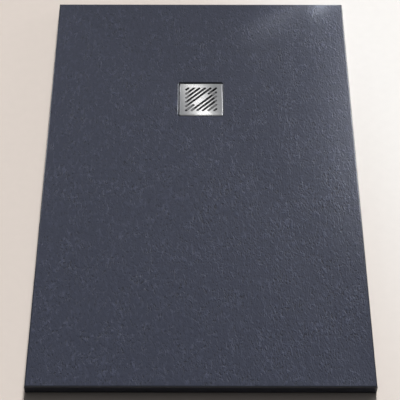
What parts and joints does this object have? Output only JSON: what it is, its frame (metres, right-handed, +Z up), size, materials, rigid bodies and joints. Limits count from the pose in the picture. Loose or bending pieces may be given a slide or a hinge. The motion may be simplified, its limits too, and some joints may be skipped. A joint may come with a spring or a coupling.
{
  "type": "shower tray",
  "caption": "Large flat rectangular stone-effect shower tray that falls to a square slotted steel cover over a round waste with a trap below.",
  "frame": {"origin": "middle of the tray's flat underside, on the floor", "axes": "+X across the tray to the right, +Y along it towards the waste end, +Z up"},
  "size_m": [0.9, 1.4, 0.129],
  "materials": {
    "resin_stone": "matte",
    "cover_steel": "satin",
    "stud_steel": "satin",
    "foot_rubber": "matte",
    "flange_steel": "satin",
    "seal_rubber": "matte",
    "screw_steel": "satin",
    "insert_brass": "satin",
    "trap_plastic": "satin",
    "cup_plastic": "satin",
    "strainer_plastic": "satin",
    "washer_rubber": "matte",
    "nut_plastic": "satin",
    "pipe_plastic": "satin"
  },
  "bodies": {
    "tray": {"tray_body": "resin_stone", "waste_flange": "flange_steel", "flange_seal": "seal_rubber", "flange_screws": "screw_steel", "screw_inserts": "insert_brass", "body_seal": "seal_rubber", "trap_collar": "trap_plastic", "bowl_seal": "seal_rubber", "trap_bowl": "trap_plastic", "outlet_washer": "washer_rubber"},
    "cover": {"grate_plate": "cover_steel", "grate_studs": "stud_steel", "grate_feet": "foot_rubber"},
    "strainer": {"hair_strainer": "strainer_plastic", "strainer_knob": "strainer_plastic"},
    "cup": {"siphon_cup": "cup_plastic", "cup_seal": "seal_rubber"},
    "elbow": {"outlet_elbow": "pipe_plastic", "pipe_washer": "washer_rubber", "outlet_pipe": "pipe_plastic"},
    "spigot_nut": {"outlet_nut": "nut_plastic"},
    "socket_nut": {"pipe_nut": "nut_plastic"}
  },
  "joints": [
    {"name": "cover_lift", "type": "slide", "parent": "tray", "child": "cover", "axis": [0, 0, 1], "range_m": [0, 0.3]},
    {"name": "strainer_lift", "type": "slide", "parent": "tray", "child": "strainer", "axis": [0, 0, 1], "range_m": [0, 0.21]},
    {"name": "cup_lift", "type": "slide", "parent": "tray", "child": "cup", "axis": [0, 0, 1], "range_m": [0, 0.105]},
    {"name": "outlet_swivel", "type": "hinge", "parent": "tray", "child": "elbow", "pos_m": [0, 0.38, -0.039], "axis": [0, 1, 0], "range_deg": [0, 180]},
    {"name": "outlet_nut_turn", "type": "hinge", "parent": "tray", "child": "spigot_nut", "pos_m": [0, 0.38, -0.039], "axis": [0, 1, 0], "continuous": true},
    {"name": "pipe_nut_turn", "type": "hinge", "parent": "elbow", "child": "socket_nut", "pos_m": [0.055, 0.434, -0.039], "axis": [1, 0, 0], "continuous": true}
  ],
  "couplings": [
    {"joint": "strainer_lift", "follows": "cover_lift", "ratio": 0.7},
    {"joint": "cup_lift", "follows": "cover_lift", "ratio": 0.35}
  ]
}
